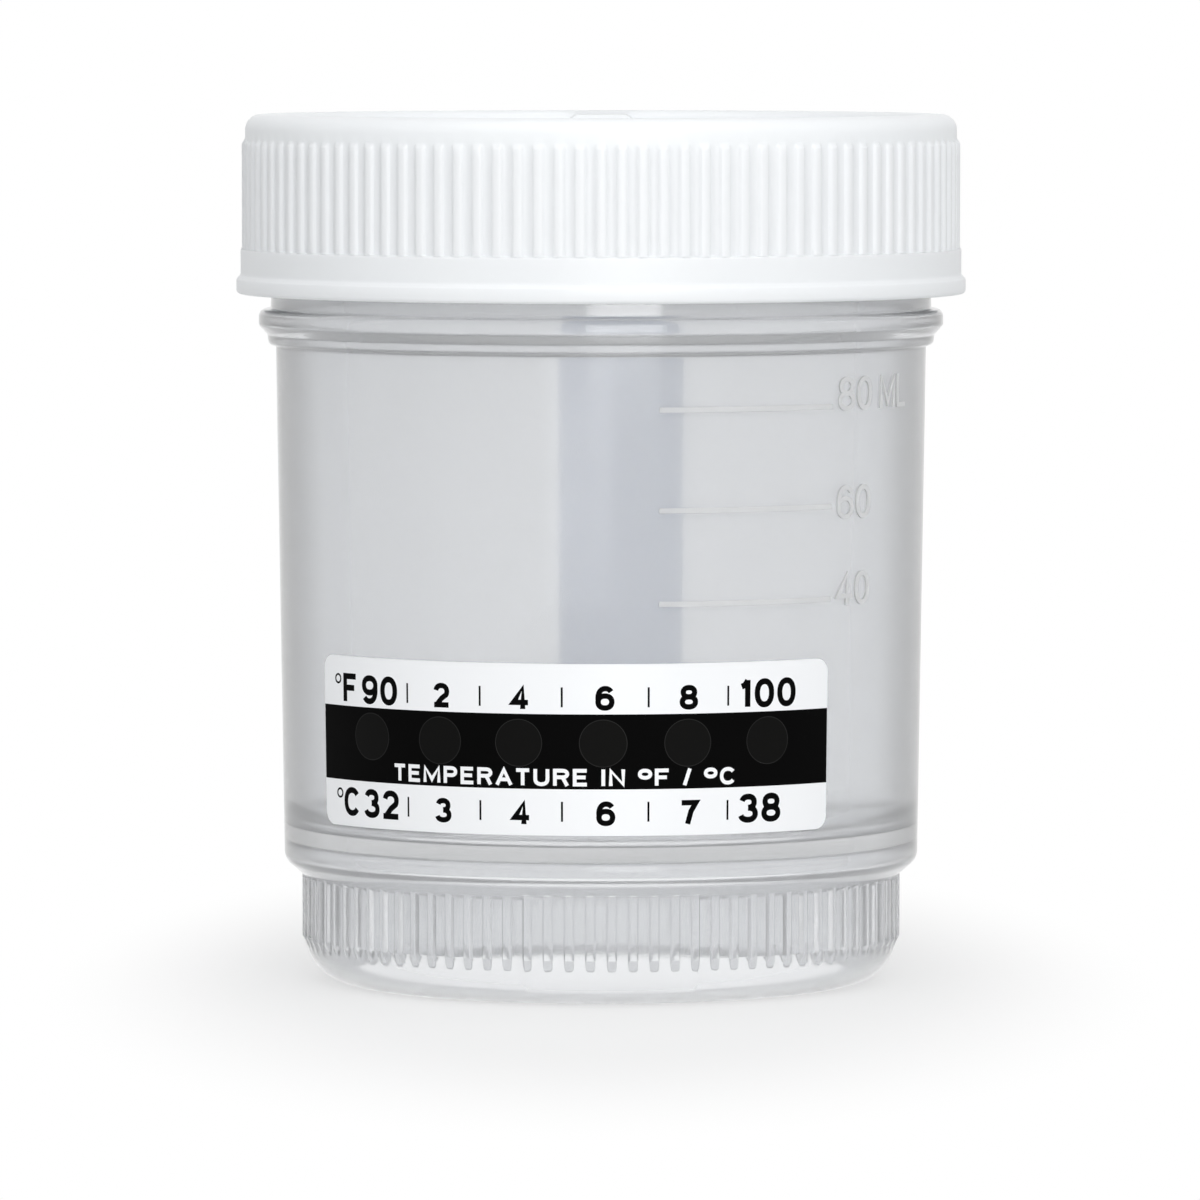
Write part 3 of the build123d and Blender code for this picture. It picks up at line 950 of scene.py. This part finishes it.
def floorMaterial():
    # a matte floor that fades into its own white: less of it near the object, which paints a shadow round the
    # foot on top of the cast shadow the matte part keeps; all of it further off, and plain white in
    # reflections and through the plastic
    material = bpy.data.materials.new("studio_floor")
    material.use_nodes = True
    tree = material.node_tree
    tree.nodes.clear()
    output = tree.nodes.new("ShaderNodeOutputMaterial")
    matte = tree.nodes.new("ShaderNodeBsdfDiffuse")
    matte.inputs["Color"].default_value = (*stageLook["white"], 1)
    glow = tree.nodes.new("ShaderNodeEmission")
    glow.inputs["Strength"].default_value = stageLook["glow"]
    coordinates = tree.nodes.new("ShaderNodeTexCoord")
    shadowStretch = tree.nodes.new("ShaderNodeMapping")
    shadowStretch.inputs["Scale"].default_value = (1, stageLook["paintedShadowStretch"], 1)
    tree.links.new(coordinates.outputs["Object"], shadowStretch.inputs["Vector"])
    length = tree.nodes.new("ShaderNodeVectorMath")
    length.operation = "LENGTH"
    tree.links.new(shadowStretch.outputs["Vector"], length.inputs[0])
    # painted shadow: the glow share is lowest near the object and rises to full white further off
    share = rangeNode(
        tree, length.outputs["Value"], stageLook["paintedShadowGlow"], 1.0, stageLook["paintedShadowFrom"], stageLook["paintedShadowTo"]
    )
    share.interpolation_type = "SMOOTHSTEP"
    seen = mathNode(tree, "MULTIPLY", rayMask(tree, ["Is Camera Ray"]), share.outputs["Result"])
    most = mathNode(tree, "MAXIMUM", seen, rayMask(tree, ["Is Glossy Ray", "Is Transmission Ray"]))
    mix = tree.nodes.new("ShaderNodeMixShader")
    tree.links.new(most, mix.inputs["Fac"])
    tree.links.new(matte.outputs[0], mix.inputs[1])
    tree.links.new(glow.outputs[0], mix.inputs[2])
    tree.links.new(mix.outputs[0], output.inputs["Surface"])
    return material


def buildStage():
    half = stageLook["size"] / 2
    floor = newObject(
        "floor", [(-half, -half, 0), (half, -half, 0), (half, half, 0), (-half, half, 0)], [(0, 1, 2, 3)],
        [floorMaterial()],
    )
    world = bpy.data.worlds.new("studio")
    scene.world = world
    world.use_nodes = True
    tree = world.node_tree
    tree.nodes.clear()
    output = tree.nodes.new("ShaderNodeOutputWorld")
    soft = tree.nodes.new("ShaderNodeBackground")
    soft.inputs["Color"].default_value = (*stageLook["worldColour"], 1)
    soft.inputs["Strength"].default_value = stageLook["worldLevel"]
    bright = tree.nodes.new("ShaderNodeBackground")
    mix = tree.nodes.new("ShaderNodeMixShader")
    bright.inputs["Color"].default_value = (1, 1, 1, 1)
    seenRays = rayMask(tree, ["Is Camera Ray", "Is Glossy Ray", "Is Transmission Ray"])
    tree.links.new(seenRays, mix.inputs["Fac"])
    tree.links.new(soft.outputs[0], mix.inputs[1])
    tree.links.new(bright.outputs[0], mix.inputs[2])
    tree.links.new(mix.outputs[0], output.inputs["Surface"])


lamps = {
    # name: (bearing, elevation, distance, width, height, watts), distances in metres
    "topSoftbox": (0, 70, 0.6, 0.7, 0.7, 1.5),
    "frontSoftbox": (8, 10, 0.9, 0.4, 0.6, 3.5),
    "sideSoftbox": (60, 20, 1.0, 0.4, 0.6, 0.2),
}


def buildLamps():
    aim = Vector((0, 0, stageLook["aimHeight"]))
    for name, (bearing, elevation, distance, width, height, watts) in lamps.items():
        turn, rise = math.radians(bearing), math.radians(elevation)
        away = Vector((math.sin(turn) * math.cos(rise), -math.cos(turn) * math.cos(rise), math.sin(rise)))
        data = bpy.data.lights.new(name, "AREA")
        data.shape = "RECTANGLE"
        data.size, data.size_y = width, height
        data.energy = watts
        lamp = bpy.data.objects.new(name, data)
        lamp.location = aim + away * distance
        lamp.rotation_euler = away.to_track_quat("Z", "Y").to_euler()
        scene.collection.objects.link(lamp)


# pixel is the millimetres that one covers; distance and axisShift are counted in pixels
cameraForm = {
    "pixel": 0.085, "imageSize": 1200, "distance": 9770, "pitch": 3.54, "aimHeight": 32.3, "axisShift": 1.0,
    "sensor": 36.0, "clipNear": 0.01, "clipFar": 20,
}


def buildCamera():
    shot = cameraForm
    data = bpy.data.cameras.new("camera")
    data.sensor_width = shot["sensor"]
    data.lens = shot["sensor"] * shot["distance"] / shot["imageSize"]
    data.clip_start, data.clip_end = shot["clipNear"], shot["clipFar"]
    camera = bpy.data.objects.new("camera", data)
    pitch = math.radians(shot["pitch"])
    away = Vector((0, -math.cos(pitch), math.sin(pitch)))
    aim = Vector((-shot["axisShift"] * shot["pixel"], 0, shot["aimHeight"])) * mm
    camera.location = aim + away * shot["distance"] * shot["pixel"] * mm
    camera.rotation_euler = away.to_track_quat("Z", "Y").to_euler()
    scene.collection.objects.link(camera)
    scene.camera = camera


buildStage()
buildLamps()
buildCamera()
scene.view_settings.view_transform = "Standard"
print("stage, lamps and camera set")
